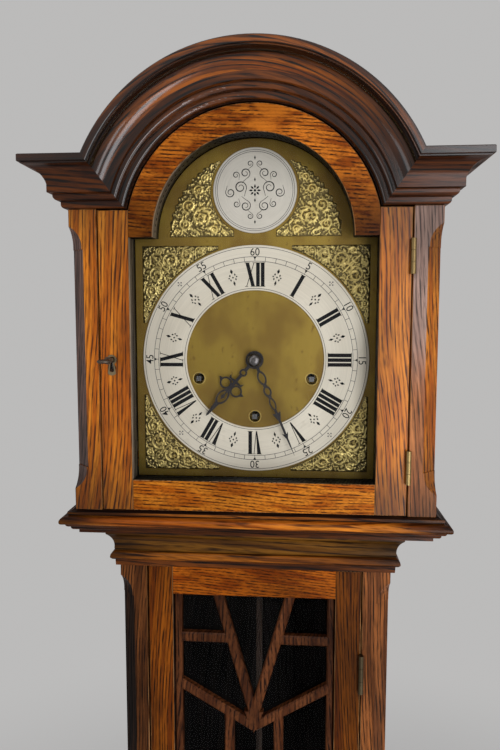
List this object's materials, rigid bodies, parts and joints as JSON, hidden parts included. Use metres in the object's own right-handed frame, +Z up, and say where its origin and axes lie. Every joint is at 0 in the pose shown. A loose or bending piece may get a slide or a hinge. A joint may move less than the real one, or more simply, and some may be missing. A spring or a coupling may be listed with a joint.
{
  "type": "longcase clock",
  "caption": "Oak longcase clock with an arched hood on slides, glazed hood and trunk doors, an arched brass dial and a spring-driven movement with a pendulum.",
  "frame": {"origin": "on the floor, below the middle of the overall box", "axes": "+Z up, the dial faces -Y, +X to the right of someone facing the dial"},
  "size_m": [0.442, 0.252, 1.85],
  "materials": {
    "oak": "varnished",
    "dark_oak": "polished",
    "backboard_wood": "matte",
    "dial_brass": "brushed",
    "silvered_brass": "satin",
    "blued_steel": "satin",
    "movement_brass": "satin",
    "fittings_brass": "aged",
    "steel": "satin",
    "glass": "clear"
  },
  "bodies": {
    "case": {"base_skirting": "oak", "base_frame": "oak", "base_panel": "oak", "base_sides": "oak", "base_floor": "backboard_wood", "base_moulding": "dark_oak", "trunk_frame": "oak", "trunk_sides": "oak", "back_board": "backboard_wood", "waist_moulding": "dark_oak", "seat_board": "backboard_wood", "trunk_hinge_post_leaves": "fittings_brass", "dial_plate": "dial_brass", "chapter_ring": "silvered_brass", "boss_disc": "silvered_brass", "spandrels": "dial_brass", "movement_front_plate": "movement_brass", "movement_back_plate": "movement_brass", "spring_barrels": "movement_brass", "rod_gong": "steel", "pendulum_cock": "movement_brass"},
    "hood": {"hood_base_moulding": "dark_oak", "hood_posts": "oak", "hood_sides": "oak", "hood_fascia": "oak", "cornice_arch": "dark_oak", "cornice_straight": "dark_oak", "hood_roof": "dark_oak", "dial_mask": "oak", "hood_hinge_post_leaves": "fittings_brass"},
    "hood_door": {"hood_door_stiles": "oak", "hood_door_rails": "oak", "hood_door_glass": "glass", "hood_hinge_door_leaves": "fittings_brass", "hood_door_escutcheon": "fittings_brass", "hood_door_lock": "steel"},
    "hood_bolt": {"hood_lock_bolt": "steel"},
    "key": {"door_key": "steel"},
    "trunk_door": {"trunk_door_stiles": "oak", "trunk_door_rails": "oak", "trunk_glazing_bars": "oak", "trunk_door_glass": "glass", "trunk_hinge_door_leaves": "fittings_brass"},
    "trunk_catch": {"trunk_door_catch": "fittings_brass"},
    "minute": {"minute_hand": "blued_steel", "hand_nut": "blued_steel", "cannon_pinion": "movement_brass"},
    "hour": {"hour_hand": "blued_steel", "hour_wheel": "movement_brass"},
    "motion": {"minute_wheel": "movement_brass"},
    "centre": {"centre_arbor": "movement_brass"},
    "third": {"third_wheel": "movement_brass"},
    "escape": {"escape_wheel": "movement_brass"},
    "anchor": {"pallet_anchor": "steel"},
    "pendulum": {"pendulum_rod": "steel", "pendulum_bob": "movement_brass"},
    "going_arbor": {"going_winding_arbor": "steel"},
    "strike_arbor": {"strike_winding_arbor": "steel"},
    "chime_arbor": {"chime_winding_arbor": "steel"},
    "hammers": {"chime_hammers": "movement_brass"}
  },
  "joints": [
    {"name": "hood_slide", "type": "slide", "parent": "case", "child": "hood", "axis": [0, -1, 0], "range_m": [0, 0.26]},
    {"name": "hood_door_swing", "type": "hinge", "parent": "hood", "child": "hood_door", "pos_m": [0.15585, -0.0932, 1.5495], "axis": [0, 0, 1], "range_deg": [0, 110]},
    {"name": "key_turn", "type": "hinge", "parent": "hood_door", "child": "key", "pos_m": [-0.1432, -0.09, 1.5515], "axis": [0, 1, 0], "range_deg": [0, 90]},
    {"name": "bolt_throw", "type": "slide", "parent": "hood_door", "child": "hood_bolt", "axis": [-1, 0, 0], "range_m": [0, 0.006]},
    {"name": "trunk_door_swing", "type": "hinge", "parent": "case", "child": "trunk_door", "pos_m": [0.11455, -0.0742, 0.9], "axis": [0, 0, 1], "range_deg": [0, 110]},
    {"name": "trunk_catch_turn", "type": "hinge", "parent": "trunk_door", "child": "trunk_catch", "pos_m": [-0.1005, -0.071, 0.905], "axis": [0, -1, 0], "range_deg": [0, 90]},
    {"name": "minute_turn", "type": "hinge", "parent": "case", "child": "minute", "pos_m": [0, -0.05, 1.5495], "axis": [0, 1, 0], "continuous": true},
    {"name": "hour_turn", "type": "hinge", "parent": "case", "child": "hour", "pos_m": [0, -0.05, 1.5495], "axis": [0, 1, 0], "continuous": true},
    {"name": "motion_turn", "type": "hinge", "parent": "case", "child": "motion", "pos_m": [-0.01273, -0.032, 1.56223], "axis": [0, 1, 0], "continuous": true},
    {"name": "escape_turn", "type": "hinge", "parent": "case", "child": "escape", "pos_m": [0, 0, 1.5915], "axis": [0, 1, 0], "continuous": true},
    {"name": "third_turn", "type": "hinge", "parent": "case", "child": "third", "pos_m": [0.01154, 0, 1.57324], "axis": [0, 1, 0], "continuous": true},
    {"name": "centre_turn", "type": "hinge", "parent": "case", "child": "centre", "pos_m": [0, 0, 1.5495], "axis": [0, 1, 0], "continuous": true},
    {"name": "pendulum_swing", "type": "hinge", "parent": "case", "child": "pendulum", "pos_m": [0, 0.048, 1.6115], "axis": [0, 1, 0], "range_deg": [-3, 3]},
    {"name": "anchor_rock", "type": "hinge", "parent": "case", "child": "anchor", "pos_m": [0, 0, 1.6115], "axis": [0, 1, 0], "range_deg": [-3, 3]},
    {"name": "going_wind", "type": "hinge", "parent": "case", "child": "going_arbor", "pos_m": [0, 0, 1.4885], "axis": [0, 1, 0], "continuous": true},
    {"name": "strike_wind", "type": "hinge", "parent": "case", "child": "strike_arbor", "pos_m": [-0.06, 0, 1.529], "axis": [0, 1, 0], "continuous": true},
    {"name": "chime_wind", "type": "hinge", "parent": "case", "child": "chime_arbor", "pos_m": [0.06, 0, 1.529], "axis": [0, 1, 0], "continuous": true},
    {"name": "hammer_lift", "type": "hinge", "parent": "case", "child": "hammers", "pos_m": [-0.05, 0.062, 1.5275], "axis": [1, 0, 0], "range_deg": [0, 12]}
  ],
  "couplings": [
    {"joint": "key_turn", "follows": "bolt_throw", "rad_per_m": 261.8},
    {"joint": "hour_turn", "follows": "minute_turn", "ratio": 0.083333},
    {"joint": "motion_turn", "follows": "minute_turn", "ratio": -0.33333},
    {"joint": "third_turn", "follows": "escape_turn", "ratio": -0.125},
    {"joint": "centre_turn", "follows": "escape_turn", "ratio": 0.0125},
    {"joint": "anchor_rock", "follows": "pendulum_swing", "ratio": 1}
  ]
}
